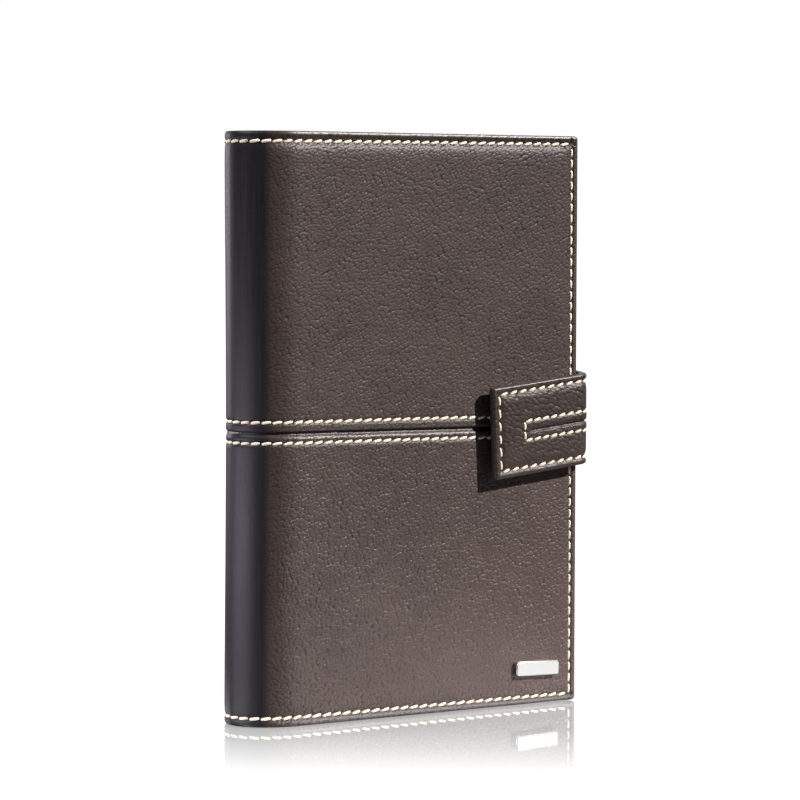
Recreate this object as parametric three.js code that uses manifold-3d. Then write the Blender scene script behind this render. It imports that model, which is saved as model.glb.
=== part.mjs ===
// A padded, leather-cased hardcover notebook with a sewn page block and a magnetic clasp strap.
// Millimetres, +Z up. It stands closed on its tail edge, front cover towards -Y, spine towards -X.
// Pieces are drawn from the outermost line of the spine (x = 0), the middle of the thickness
// (y = 0) and the tail edge (z = 0). The last group moves them to the middle of their footprint.

import * as THREE from 'three';
import { mergeVertices } from 'three/addons/utils/BufferGeometryUtils.js';
import Module from 'manifold-3d';

const wasm = await Module();
wasm.setup();

// Case
const coverHeight = 210;
const coverWidth = 141;        // outermost line of the spine to the fore edge
const bookThickness = 31;      // over both covers
const spineDepth = 19;         // reach of the rounded spine before the covers run flat
const coverCorner = 3;         // corner radius of a cover
const seamHeight = 103.5;      // middle of the seam that crosses covers and spine
const seamGap = 1;             // slot between the upper and lower leather
const seamRow = 3.7;           // from the seam's middle to either row of stitches
const seamLip = 2.2;           // from the seam's middle to where a lip starts to fall

// Layers of a cover, from the outside in
const leather = 0.8;
const padding = 1.2;
const board = 1.6;
const lining = 0.4;
const turnIn = 12;             // leather folded round the board onto its inner face
const padInset = 6;            // from the cover's edge to the padding
const padSlope = 1;            // run of the slope at the padding's edge
const edgeFloor = 1.7;         // depth of the leather's inner face outside the padding
const seamStripWidth = 11;
const liningInset = 3.5;
const layerGap = 0.05;         // between layers that lie on each other
const fitGap = 0.1;            // round a piece that drops into another

// Rounded and stitched edge of the leather: distance in from the edge, depth below the crest
const edgeSection = [[0, 1.6], [0.15, 1.1], [0.6, 0.65], [1.4, 0.4], [2.4, 0.3],
  [3.2, 0.55], [4, 0.3], [7, 0.1], [turnIn, 0]];

// Spine
const spineBoard = 0.95;
const spineBoardDepth = 1.15;  // from the crest of the leather to the spine board
const spineTurnIn = 8;
const spineStripThickness = 0.25;
const jointLeather = 3;        // half the width of leather that bends beside the spine
const cutGap = 0.3;            // between pieces that meet at a bend

// Page block
const coverSquare = 3;         // covers beyond the pages at head, tail and fore edge
const flyleaf = 0.4;
const turnClearance = 0.3;     // either side of leaves that turn as one
const sectionCount = 6;
const sectionsPerTurn = 2;     // sections that turn with each cover
const keptSection = 2.1;       // depth of a section that stays with the spine
const paperGap = 0.06;
const spineHollow = 0.7;       // from the inside of the spine to the bands behind the folds
const leafStart = -1.5;        // where turning leaves begin, from the hinge axis
const gutterWidth = 5;         // paper of a flyleaf that bends, glued beside the outer fold
const mull = 0.5;
const mullMargin = 14;
const bandHeight = 4;
const bandRise = 1.2;
const bandThickness = 1.3;

// Hinges of the covers
const hingeLift = 0.3;         // axis outside the leather

// Clasp strap
const strapWidth = 33.7;
const strapThickness = 3;
const strapHeight = 105.5;     // middle of the strap where the flap starts
const strapCorner = 2.5;
const strapInset = 1.9;        // centre of either bend, in from the fore edge
const strapBendRadius = 2.4;
const strapSlope = Math.tan(THREE.MathUtils.degToRad(6.3));   // rise on its way to the back
const anchorLength = 30;
const anchorGap = 0.1;         // anchor above the back cover
const flapLift = 2.4;          // flap above the front cover
const flapLength = 38.4;
const flapEndLean = 1.5;       // how far the foot of the free end stands back
const flapLeather = 1.1;
const flapCore = 0.9;
const flapWall = 1.2;
const flapRound = 0.4;
const flapRow = 2.9;           // outer stitches of the flap, from its edge
const flapGrooveStart = 2;     // pressed line of the flap, from the bend
const flapGrooveLength = 20;
const flapGrooveDrop = 1.1;    // below the middle of the flap
const flapGrooveWidth = 1.4;
const flapGrooveDepth = 0.5;
const magnetRadius = 4.5;
const magnetFromForeEdge = 30;
const catchMagnet = 1.4;

// Corner plate
const plateWidth = 19.3;
const plateHeight = 5.5;
const plateThickness = 1.2;
const plateCorner = 1.4;
const plateBevel = 0.35;
const plateFromForeEdge = 17.7;
const plateFromTail = 12.65;
const plateTilt = THREE.MathUtils.degToRad(1.9);
const prongRadius = 0.6;
const prongSpacing = 11;
const prongClearance = 0.2;

// Smoothness
const cornerSteps = 5;
const roundSteps = 8;
const spineSteps = 28;
const jointSteps = 4;
const magnetSides = 32;
const prongSides = 12;

// Sizes that follow from those above
const halfThickness = bookThickness / 2;
const boardDepth = leather + padding;
const turnInDepth = boardDepth + board;
const liningDepth = turnInDepth + leather;
const coverStack = liningDepth + lining;
const panelStart = spineDepth + jointLeather;
const pageTail = coverSquare;
const pageHead = coverHeight - coverSquare;
const pageFore = coverWidth - coverSquare;
const blockHalf = halfThickness - coverStack - flyleaf - 2 * turnClearance;
const turnGroups = sectionCount / sectionsPerTurn;
const keptSections = sectionCount - 2 * sectionsPerTurn;
const turningSection = (2 * blockHalf - (turnGroups - 1) * turnClearance
  - keptSections * keptSection) / (2 * sectionsPerTurn);
const hingeX = spineDepth;
const spineStack = spineBoardDepth + spineBoard + leather;

// Colours and finish
const finishes = {
  leather: { color: 0x3a302e, roughness: 0.55 },
  spineLeather: { color: 0x2a292e, roughness: 0.5 },
  foam: { color: 0xc9c4b8, roughness: 0.95 },
  greyboard: { color: 0x8a8378, roughness: 0.9 },
  lining: { color: 0x4a4340, roughness: 0.8 },
  paper: { color: 0xf1ebda, roughness: 0.9 },
  cloth: { color: 0xe8e4d8, roughness: 0.95 },
  steel: { color: 0x9a9a9c, roughness: 0.35, metalness: 1 },
  plate: { color: 0xd9dadc, roughness: 0.25, metalness: 1 },
};

function mesh(name, finish, geometry) {
  const piece = new THREE.Mesh(geometry, new THREE.MeshStandardMaterial(finishes[finish]));
  piece.name = name;
  return piece;
}

// Geometry from shared points and triangles, with its faces turned outwards
function closedGeometry(points, faces) {
  let volume = 0;
  for (const [a, b, c] of faces) {
    volume += points[a].dot(new THREE.Vector3().crossVectors(points[b], points[c]));
  }
  const index = faces.flatMap(([a, b, c]) => (volume < 0 ? [a, c, b] : [a, b, c]));
  const geometry = new THREE.BufferGeometry();
  geometry.setAttribute('position',
    new THREE.Float32BufferAttribute(points.flatMap((p) => [p.x, p.y, p.z]), 3));
  geometry.setIndex(index);
  return geometry;
}

// Skin through rings of equal point counts, closed by a fan at either end
function loftRings(rings) {
  const count = rings[0].length;
  const points = rings.flat();
  const faces = [];
  for (let r = 0; r + 1 < rings.length; r += 1) {
    for (let i = 0; i < count; i += 1) {
      const a = r * count + i;
      const b = r * count + ((i + 1) % count);
      faces.push([a, b, b + count], [a, b + count, a + count]);
    }
  }
  for (const [ring, turn] of [[0, true], [rings.length - 1, false]]) {
    const centre = new THREE.Vector3();
    rings[ring].forEach((p) => centre.addScaledVector(p, 1 / count));
    points.push(centre);
    for (let i = 0; i < count; i += 1) {
      const a = ring * count + i;
      const b = ring * count + ((i + 1) % count);
      faces.push(turn ? [b, a, points.length - 1] : [a, b, points.length - 1]);
    }
  }
  return closedGeometry(points, faces);
}

// Rounded rectangle in X and Z at one depth
function cornerRing({ x0, x1, z0, z1 }, radius, y) {
  const r = Math.max(radius, fitGap);
  const corners = [[x1 - r, z1 - r, 0], [x0 + r, z1 - r, 1], [x0 + r, z0 + r, 2], [x1 - r, z0 + r, 3]];
  return corners.flatMap(([x, z, quarter]) => Array.from({ length: cornerSteps + 1 }, (_, i) => {
    const angle = (quarter + i / cornerSteps) * Math.PI / 2;
    return new THREE.Vector3(x + r * Math.cos(angle), y, z + r * Math.sin(angle));
  }));
}

function insetBox({ x0, x1, z0, z1 }, inset) {
  return { x0: x0 + inset, x1: x1 - inset, z0: z0 + inset, z1: z1 - inset };
}

// Slab or tray from steps of [inset, depth], measured from an outline and its outer face
function steppedSlab(outline, corner, outerY, steps) {
  return loftRings(steps.map(([inset, depth]) => (
    cornerRing(insetBox(outline, inset), corner - inset, outerY + depth))));
}

// Closed section of [depth, height] points carried along stations { x, y, nx, ny }
function sweepSection(section, stations) {
  const count = section.length;
  const points = stations.flatMap((s) => section.map(([depth, z]) => (
    new THREE.Vector3(s.x - s.nx * depth, s.y - s.ny * depth, z))));
  const faces = [];
  for (let k = 0; k + 1 < stations.length; k += 1) {
    for (let i = 0; i < count; i += 1) {
      const a = k * count + i;
      const b = k * count + ((i + 1) % count);
      faces.push([a, b, b + count], [a, b + count, a + count]);
    }
  }
  const outline = section.map(([depth, z]) => new THREE.Vector2(depth, z));
  const turned = THREE.ShapeUtils.isClockWise(outline);
  const last = (stations.length - 1) * count;
  for (const [a, b, c] of THREE.ShapeUtils.triangulateShape(outline, [])) {
    faces.push(turned ? [a, b, c] : [c, b, a]);
    faces.push(turned ? [last + c, last + b, last + a] : [last + a, last + b, last + c]);
  }
  return orientSweep(points, faces, last, count);
}

// End faces follow the winding of the sides they close
function orientSweep(points, faces, last, count) {
  const sides = new Set(faces.slice(0, (last / count) * count * 2).flatMap(edgesOf));
  const ends = faces.slice((last / count) * count * 2).map((face) => (
    edgesOf(face).some((edge) => sides.has(edge)) ? [face[2], face[1], face[0]] : face));
  return closedGeometry(points, [...faces.slice(0, (last / count) * count * 2), ...ends]);
}

function edgesOf([a, b, c]) {
  return [`${a},${b}`, `${b},${c}`, `${c},${a}`];
}

function boxGeometry(x0, x1, y0, y1, z0, z1) {
  const geometry = new THREE.BoxGeometry(x1 - x0, y1 - y0, z1 - z0);
  return geometry.translate((x0 + x1) / 2, (y0 + y1) / 2, (z0 + z1) / 2);
}

// Cylinder along Y
function discGeometry(radius, x, y0, y1, z, sides) {
  const geometry = new THREE.CylinderGeometry(radius, radius, y1 - y0, sides);
  return geometry.translate(x, (y0 + y1) / 2, z);
}

// Outline of [x, y] points raised along Z
function raised(outline, z0, z1) {
  const shape = new THREE.Shape(outline.map(([x, y]) => new THREE.Vector2(x, y)));
  const geometry = new THREE.ExtrudeGeometry(shape, { depth: z1 - z0, bevelEnabled: false });
  return geometry.translate(0, 0, z0);
}

function solid(geometry) {
  const plain = geometry.clone();
  plain.deleteAttribute('normal');
  plain.deleteAttribute('uv');
  const merged = mergeVertices(plain, 1e-5);
  return new wasm.Manifold(new wasm.Mesh({
    numProp: 3,
    vertProperties: new Float32Array(merged.attributes.position.array),
    triVerts: new Uint32Array(merged.index.array),
  }));
}

function geometryOf(body) {
  const { vertProperties, triVerts } = body.getMesh();
  const geometry = new THREE.BufferGeometry();
  geometry.setAttribute('position', new THREE.Float32BufferAttribute(vertProperties, 3));
  geometry.setIndex(Array.from(triVerts));
  return geometry;
}

function cut(geometry, ...tools) {
  return geometryOf(tools.reduce((body, tool) => body.subtract(solid(tool)), solid(geometry)));
}

function joined(...geometries) {
  return geometryOf(geometries.map(solid).reduce((a, b) => a.add(b)));
}

// Same shape on the other side of the thickness
function mirrored(geometry) {
  const copy = geometry.clone().scale(1, -1, 1);
  const index = Array.from(copy.index.array);
  for (let i = 0; i < index.length; i += 3) [index[i + 1], index[i + 2]] = [index[i + 2], index[i + 1]];
  copy.setIndex(index);
  return copy;
}

// The front is drawn; the back is its mirror image
function sided(side, geometry) {
  return side === 'front' ? geometry : mirrored(geometry);
}

// Section of the stitched seam, cut out of leather: [depth, height] points
function seamSection() {
  const half = [[0, seamRow + 0.8], [0.3, seamRow], [0.05, seamRow - 0.8], [0, seamLip], [0.4, seamGap],
    [leather + layerGap, seamGap / 2]];
  const upper = half.map(([depth, z]) => [depth, seamHeight + z]);
  const lower = half.map(([depth, z]) => [depth, seamHeight - z]).reverse();
  return [[-1, seamHeight + seamRow + 0.8], ...upper, ...lower, [-1, seamHeight - seamRow - 0.8]];
}

function flatStations(x0, x1) {
  return [x0, x1].map((x) => ({ x, y: -halfThickness, nx: 0, ny: -1 }));
}

// Along the rounded spine, from the front angle to the back angle
function spineStations(from, to, steps = spineSteps) {
  return Array.from({ length: steps + 1 }, (_, i) => {
    const angle = from + (to - from) * i / steps;
    const normal = new THREE.Vector2(-Math.cos(angle) * halfThickness, Math.sin(angle) * spineDepth);
    normal.normalize();
    return {
      x: spineDepth - spineDepth * Math.cos(angle),
      y: halfThickness * Math.sin(angle),
      nx: normal.x,
      ny: normal.y,
    };
  });
}

// Upper or lower half of a piece of leather, parted at the seam
function leatherHalf(geometry, half, seamCutter) {
  const reach = 2 * coverWidth;
  const [z0, z1] = half === 'upper'
    ? [-reach, seamHeight + seamGap / 2] : [seamHeight - seamGap / 2, coverHeight + reach];
  return cut(geometry, seamCutter, boxGeometry(-reach, reach, -reach, reach, z0, z1));
}

// Leather tray of a cover: padding hollow, wall, turned-in flange, outer wall and stitched edge
function coverTray() {
  const outline = { x0: panelStart - 2 * turnIn, x1: coverWidth, z0: 0, z1: coverHeight };
  return steppedSlab(outline, coverCorner, -halfThickness, [
    [padInset, leather],
    [padInset - padSlope, edgeFloor],
    [leather, edgeFloor],
    [leather, turnInDepth],
    [turnIn, turnInDepth],
    [turnIn, liningDepth],
    [1.4, liningDepth],
    [0.6, liningDepth - 0.2],
    [0.15, liningDepth - 0.7],
    [0, liningDepth - 1.3],
    ...edgeSection,
  ]);
}

// The plate and its prongs stand a little askew about the plate's middle
function tilted(geometry) {
  const x = coverWidth - plateFromForeEdge;
  return geometry.translate(-x, 0, -plateFromTail).rotateY(plateTilt).translate(x, 0, plateFromTail);
}

function plateHoles(depth) {
  return [-1, 1].map((way) => tilted(discGeometry(
    prongRadius + prongClearance, coverWidth - plateFromForeEdge + way * prongSpacing / 2,
    -halfThickness - 1, -halfThickness + depth, plateFromTail, prongSides)));
}

function coverLeather(side, half) {
  const tray = cut(coverTray(), boxGeometry(-coverWidth, panelStart, -halfThickness - 1, 0,
    -1, coverHeight + 1));
  const seam = sweepSection(seamSection(), flatStations(0, coverWidth + 1));
  const panel = leatherHalf(tray, half, seam);
  const holes = side === 'front' && half === 'lower' ? plateHoles(edgeFloor) : [];
  return mesh(`${side}_leather_${half}`, 'leather', sided(side, cut(panel, ...holes)));
}

function coverPadding(side, half) {
  const strip = seamStripWidth / 2 + fitGap;
  const ends = half === 'upper' ? [seamHeight + strip, coverHeight - padInset - fitGap]
    : [padInset + fitGap, seamHeight - strip];
  const outline = { x0: panelStart, x1: coverWidth - padInset - fitGap, z0: ends[0], z1: ends[1] };
  const pad = steppedSlab(outline, 1, -halfThickness, [[0, leather + layerGap], [0, boardDepth - layerGap]]);
  const holes = side === 'front' && half === 'lower' ? plateHoles(boardDepth) : [];
  return mesh(`${side}_padding_${half}`, 'foam', sided(side, cut(pad, ...holes)));
}

function seamStrip(side) {
  const strip = boxGeometry(panelStart, coverWidth - padInset - fitGap,
    -halfThickness + leather + layerGap, -halfThickness + boardDepth - layerGap,
    seamHeight - seamStripWidth / 2, seamHeight + seamStripWidth / 2);
  return mesh(`${side}_seam_strip`, 'leather', sided(side, mergeVertices(bare(strip))));
}

function bare(geometry) {
  geometry.deleteAttribute('normal');
  geometry.deleteAttribute('uv');
  return geometry;
}

function coverBoard(side) {
  const wall = leather + fitGap;
  const outline = { x0: panelStart, x1: coverWidth - wall, z0: wall, z1: coverHeight - wall };
  const slab = steppedSlab(outline, coverCorner - wall, -halfThickness,
    [[0, boardDepth], [0, turnInDepth - layerGap]]);
  const pocket = discGeometry(magnetRadius + fitGap, coverWidth - magnetFromForeEdge,
    -halfThickness + boardDepth - 1, -halfThickness + boardDepth + catchMagnet + layerGap,
    magnetHeight(), magnetSides);
  const tools = side === 'front' ? [pocket] : [];
  return mesh(`${side}_board`, 'greyboard', sided(side, cut(slab, ...tools)));
}

// Paper lining: a sheet over the turned-in leather, and its middle down on the board
function coverLining(side) {
  const sheet = steppedSlab(
    { x0: panelStart, x1: coverWidth - liningInset, z0: liningInset, z1: coverHeight - liningInset },
    1, -halfThickness, [[0, liningDepth + layerGap], [0, coverStack]]);
  const inner = turnIn + fitGap;
  const middle = steppedSlab(
    { x0: panelStart, x1: coverWidth - inner, z0: inner, z1: coverHeight - inner },
    1, -halfThickness, [[0, turnInDepth], [0, coverStack]]);
  return mesh(`${side}_lining`, 'lining', sided(side, joined(sheet, middle)));
}

function coverPieces(side) {
  const halves = ['upper', 'lower'];
  return [
    ...halves.map((half) => coverLeather(side, half)),
    ...halves.map((half) => coverPadding(side, half)),
    seamStrip(side),
    coverBoard(side),
    coverLining(side),
  ];
}

// Section of the leather beside and over the spine, turned in at head and tail
function spineSection() {
  const tail = [
    ...[...edgeSection].reverse().slice(0, -2).map(([inset, depth]) => [depth, inset]),
    [0.95, 0.15], [1.3, 0], [1.9, 0], [2.4, 0.15], [spineStack - 0.2, 0.7], [spineStack, 1.4],
    [spineStack, spineTurnIn],
    [spineStack - leather + layerGap, spineTurnIn],
    [spineStack - leather + layerGap, leather],
    [spineBoardDepth - layerGap, leather],
    [spineBoardDepth - layerGap, padInset],
    [leather, padInset + padSlope],
  ];
  const head = tail.map(([depth, z]) => [depth, coverHeight - z]).reverse();
  return [...tail, ...head];
}

const frontJointAngle = -Math.acos(jointLeather / spineDepth);

function spineLeather(half) {
  const stations = spineStations(frontJointAngle, -frontJointAngle);
  const over = spineStations(frontJointAngle * 1.02, -frontJointAngle * 1.02);
  const band = leatherHalf(sweepSection(spineSection(), stations), half,
    sweepSection(seamSection(), over));
  return mesh(`spine_leather_${half}`, 'spineLeather', band);
}

// Leather that bends as a cover opens, between the spine and the cover
function jointLeatherPiece(side, half) {
  const gapAngle = cutGap / halfThickness;
  const bent = spineStations(frontJointAngle - gapAngle, -Math.PI / 2, jointSteps);
  const flat = flatStations(spineDepth, panelStart - cutGap).slice(1);
  const stations = [...bent, ...flat];
  const over = [...spineStations(frontJointAngle + gapAngle, -Math.PI / 2, jointSteps),
    ...flatStations(spineDepth, panelStart + 1).slice(1)];
  const strip = leatherHalf(sweepSection(spineSection(), stations), half,
    sweepSection(seamSection(), over));
  return mesh(`${side}_joint_leather_${half}`, 'leather', sided(side, strip));
}

function spineBoardPiece() {
  const tail = leather + fitGap;
  const head = coverHeight - tail;
  const inner = spineBoardDepth + spineBoard;
  const section = [[spineBoardDepth, tail], [inner, tail], [inner, head], [spineBoardDepth, head]];
  return mesh('spine_board', 'greyboard',
    sweepSection(section, spineStations(frontJointAngle, -frontJointAngle)));
}

function spineSeamStrip() {
  const inner = leather + layerGap + spineStripThickness;
  const z0 = seamHeight - seamStripWidth / 2;
  const z1 = seamHeight + seamStripWidth / 2;
  const section = [[leather + layerGap, z0], [inner, z0], [inner, z1], [leather + layerGap, z1]];
  return mesh('spine_seam_strip', 'spineLeather',
    sweepSection(section, spineStations(frontJointAngle, -frontJointAngle)));
}

// Sections lie side by side, with a running gap where one group turns away from the next
function sectionTurns(index) {
  return index < sectionsPerTurn || index >= sectionCount - sectionsPerTurn;
}

function sectionDepth(index) {
  return sectionTurns(index) ? turningSection : keptSection;
}

function sectionFront(index) {
  let front = Math.floor(index / sectionsPerTurn) * turnClearance - blockHalf;
  for (let i = 0; i < index; i += 1) front += sectionDepth(i);
  return front;
}

// The folds follow the inside of the spine, with room for the bands behind them
function foldAt(y) {
  const across = y / (halfThickness - spineStack);
  const inside = spineDepth - (spineDepth - spineStack) * Math.sqrt(1 - across ** 2);
  return inside + spineHollow + bandThickness + cutGap;
}

function sectionOutline(index, fromFold, x1) {
  const y0 = sectionFront(index) + paperGap / 2;
  const y1 = y0 + sectionDepth(index) - paperGap;
  if (!fromFold) return [[hingeX + leafStart, y0], [x1, y0], [x1, y1], [hingeX + leafStart, y1]];
  const radius = (y1 - y0) / 2;
  const x = foldAt((y0 + y1) / 2) + radius;
  const fold = Array.from({ length: roundSteps + 1 }, (_, i) => {
    const angle = Math.PI / 2 + Math.PI * i / roundSteps;
    return [x + radius * Math.cos(angle), (y0 + y1) / 2 + radius * Math.sin(angle)];
  });
  return [...fold, [x1, y0], [x1, y1]];
}

function pageSections() {
  const pieces = [];
  for (let i = 0; i < sectionCount; i += 1) {
    const name = `section_${i + 1}`;
    const turns = sectionTurns(i);
    if (turns) {
      const fold = sectionOutline(i, true, hingeX + leafStart - cutGap);
      pieces.push(mesh(`${name}_fold`, 'paper', raised(fold, pageTail, pageHead)));
    }
    pieces.push(mesh(name, 'paper', raised(sectionOutline(i, !turns, pageFore), pageTail, pageHead)));
  }
  return pieces;
}

function flyleafPieces(side) {
  const outer = -blockHalf - turnClearance - flyleaf;
  const start = hingeX + leafStart;
  const sheet = (x0, x1) => sided(side, mergeVertices(bare(
    boxGeometry(x0, x1, outer, outer + flyleaf, pageTail, pageHead))));
  return [
    mesh(`${side}_flyleaf`, 'paper', sheet(start, pageFore)),
    mesh(`${side}_flyleaf_gutter`, 'paper', sheet(start - gutterWidth, start - cutGap)),
  ];
}

// Curved sheet behind the folds, used for the cloth lining and for the bands at head and tail
function foldSheet(thickness, z0, z1) {
  const reach = blockHalf - turningSection / 2;
  const along = Array.from({ length: roundSteps + 1 }, (_, i) => reach * (2 * i / roundSteps - 1));
  const near = along.map((y) => [foldAt(y) - cutGap, y]);
  const far = along.map((y) => [foldAt(y) - cutGap - thickness, y]).reverse();
  return raised([...near, ...far], z0, z1);
}

function spineLinings() {
  return [
    mesh('spine_cloth', 'cloth', foldSheet(mull, pageTail + mullMargin, pageHead - mullMargin)),
    mesh('head_band', 'cloth', foldSheet(bandThickness, pageHead - bandHeight + bandRise,
      pageHead + bandRise)),
    mesh('tail_band', 'cloth', foldSheet(bandThickness, pageTail - bandRise,
      pageTail + bandHeight - bandRise)),
  ];
}

// Strap: inner faces, bends and the corners of its cross-section
const strapTail = strapHeight - strapWidth / 2;
const strapHead = strapHeight + strapWidth / 2;
const bendX = coverWidth - strapInset;
const bridgeInner = bendX + strapBendRadius;
const backBendY = halfThickness + anchorGap - strapBendRadius;
const frontBendY = -halfThickness - flapLift + strapBendRadius;
const strapNeutral = strapBendRadius + strapThickness / 2;
const bendRun = strapNeutral * Math.PI / 2;
const bendReach = bendRun / 2;

function magnetHeight() {
  return strapHeight - (magnetFromForeEdge - strapInset) * strapSlope;
}

// Distance along the strap from the start of the flap, growing towards the back
function strapRun(x, y) {
  const bridgeEnd = bendRun + backBendY - frontBendY;
  if (x < bendX) return y < 0 ? x - bendX : bridgeEnd + bendRun + bendX - x;
  if (y < frontBendY) return strapNeutral * Math.atan2(x - bendX, frontBendY - y);
  if (y <= backBendY) return bendRun + y - frontBendY;
  return bridgeEnd + strapNeutral * Math.atan2(y - backBendY, x - bendX);
}

// The strap is a straight band that runs round the fore edge at a slope
function wrapped(geometry) {
  const place = geometry.attributes.position;
  for (let i = 0; i < place.count; i += 1) {
    place.setZ(i, place.getZ(i) + strapRun(place.getX(i), place.getY(i)) * strapSlope);
  }
  return geometry;
}

// Section through the strap with rounded edges: [depth, height] from its outer face
function strapSection() {
  const r = flapRound;
  const half = [[0, 4 * r], [r / 3, r], [r, 0], [strapThickness - r, 0], [strapThickness, r]];
  return [...half.map(([depth, z]) => [depth, strapTail + z]),
    ...half.map(([depth, z]) => [depth, strapHead - z]).reverse()];
}

function bendStations(centreY, from, to) {
  const outer = strapBendRadius + strapThickness;
  return Array.from({ length: roundSteps + 1 }, (_, i) => {
    const angle = from + (to - from) * i / roundSteps;
    const [nx, ny] = [Math.cos(angle), Math.sin(angle)];
    return { x: bendX + outer * nx, y: centreY + outer * ny, nx, ny };
  });
}

function strapPieces() {
  const gapAngle = cutGap / strapNeutral;
  const outerX = bridgeInner + strapThickness;
  const bridge = [backBendY, frontBendY].map((y) => ({ x: outerX, y, nx: 1, ny: 0 }));
  return [
    mesh('strap_back_bend', 'leather', wrapped(sweepSection(strapSection(),
      bendStations(backBendY, Math.PI / 2 - gapAngle, gapAngle)))),
    mesh('strap_bridge', 'leather', wrapped(sweepSection(strapSection(), bridge))),
    mesh('strap_front_bend', 'leather', wrapped(sweepSection(strapSection(),
      bendStations(frontBendY, -gapAngle, gapAngle - Math.PI / 2)))),
  ];
}

// Anchor of the strap, sewn flat on the back cover
function strapAnchor() {
  const outline = { x0: bendX - anchorLength, x1: bendX, z0: strapTail, z1: strapHead };
  const outer = -halfThickness - anchorGap - strapThickness;
  const slab = steppedSlab(outline, strapCorner, outer, [
    [0, strapThickness], [0, flapRound], [flapRound, flapRound / 3], [4 * flapRound, 0],
  ]);
  return mesh('strap_anchor', 'leather', wrapped(mirrored(slab)));
}

// Flap on the slope of the strap, with the foot of its free end standing back
function hung(geometry) {
  const place = geometry.attributes.position;
  for (let i = 0; i < place.count; i += 1) {
    const away = (bendX - place.getX(i)) / flapLength;
    const below = (strapHeight - place.getZ(i)) / strapWidth;
    place.setX(i, place.getX(i) + away * below * flapEndLean);
  }
  return wrapped(geometry);
}

function flapPieces() {
  const outline = { x0: bendX - flapLength, x1: bendX, z0: strapTail, z1: strapHead };
  const outer = -halfThickness - flapLift - strapThickness;
  const coreTop = flapLeather + layerGap;
  const liningTop = flapLeather + flapCore + layerGap;
  const shell = steppedSlab(outline, strapCorner, outer, [
    [flapWall, flapLeather],
    [flapWall, liningTop - layerGap],
    [0, liningTop - layerGap],
    [0, 2 * flapRound],
    [flapRound, flapRound / 2],
    [flapRow - 0.9, 0],
    [flapRow, 0.25],
    [flapRow + 0.9, 0],
  ]);
  const groove = boxGeometry(bendX - flapGrooveStart - flapGrooveLength, bendX - flapGrooveStart,
    outer - 1, outer + flapGrooveDepth,
    strapHeight - flapGrooveDrop - flapGrooveWidth / 2,
    strapHeight - flapGrooveDrop + flapGrooveWidth / 2);
  const hole = discGeometry(magnetRadius + fitGap, coverWidth - magnetFromForeEdge,
    outer - 1, outer + strapThickness, magnetHeight(), magnetSides);
  const core = hung(steppedSlab(insetBox(outline, flapWall + fitGap), strapCorner - flapWall, outer,
    [[0, coreTop], [0, liningTop - layerGap]]));
  const under = steppedSlab(outline, strapCorner, outer,
    [[0, liningTop], [0, strapThickness - flapRound], [flapRound, strapThickness]]);
  const disc = discGeometry(magnetRadius, coverWidth - magnetFromForeEdge,
    outer + coreTop, outer + liningTop - layerGap, magnetHeight(), magnetSides);
  return [
    mesh('flap_leather', 'leather', hung(cut(shell, groove))),
    mesh('flap_core', 'greyboard', cut(core, hole)),
    mesh('flap_lining', 'leather', hung(under)),
    mesh('flap_magnet', 'steel', disc),
  ];
}

function catchMagnetPiece() {
  const outer = -halfThickness + boardDepth;
  return mesh('catch_magnet', 'steel', discGeometry(magnetRadius, coverWidth - magnetFromForeEdge,
    outer, outer + catchMagnet, magnetHeight(), magnetSides));
}

function cornerPlate() {
  const x = coverWidth - plateFromForeEdge;
  const outline = {
    x0: x - plateWidth / 2, x1: x + plateWidth / 2,
    z0: plateFromTail - plateHeight / 2, z1: plateFromTail + plateHeight / 2,
  };
  const outer = -halfThickness - plateThickness - layerGap;
  const slab = steppedSlab(outline, plateCorner, outer, [
    [0, plateThickness], [0, plateBevel], [plateBevel / 3, plateBevel / 3], [plateBevel, 0],
  ]);
  const prongs = [-1, 1].map((way) => discGeometry(prongRadius, x + way * prongSpacing / 2,
    outer + plateThickness / 2, -halfThickness + boardDepth - layerGap, plateFromTail, prongSides));
  return mesh('corner_plate', 'plate', tilted(joined(slab, ...prongs)));
}

const notebook = new THREE.Group();
notebook.add(
  ...coverPieces('front'),
  ...coverPieces('back'),
  ...['front', 'back'].flatMap((side) => ['upper', 'lower'].map((half) => jointLeatherPiece(side, half))),
  spineLeather('upper'),
  spineLeather('lower'),
  spineSeamStrip(),
  spineBoardPiece(),
  ...pageSections(),
  ...flyleafPieces('front'),
  ...flyleafPieces('back'),
  ...spineLinings(),
  strapAnchor(),
  ...strapPieces(),
  ...flapPieces(),
  catchMagnetPiece(),
  cornerPlate(),
);

// Footprint, from the spine to the strap and from the flap to the anchor
const footprintX = (bridgeInner + strapThickness) / 2;
const footprintY = (anchorGap - flapLift) / 2;
notebook.position.set(-footprintX, -footprintY, 0);

const shift = (x, y) => `${(x - footprintX).toFixed(3)}, ${(y - footprintY).toFixed(3)}`;
console.log(`cover hinges at ${shift(hingeX, -halfThickness - hingeLift)} and `
  + `${shift(hingeX, halfThickness + hingeLift)}`);
console.log(`strap hinges at ${shift(bendX + bendReach, backBendY + bendReach)} and `
  + `${shift(bendX + bendReach, frontBendY - bendReach)}`);

export default notebook;
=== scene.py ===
# %% [markdown]
# # A leather-cased notebook with a clasp strap
# The notebook stands closed on its tail edge. The imported model gives the size and the place of
# every part, and this script dresses it: leather with a pressed grain, sewn seams, paper and metal.
# The first step loads the imported model and keeps its parts.

# %% Load the imported model
import math

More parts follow.
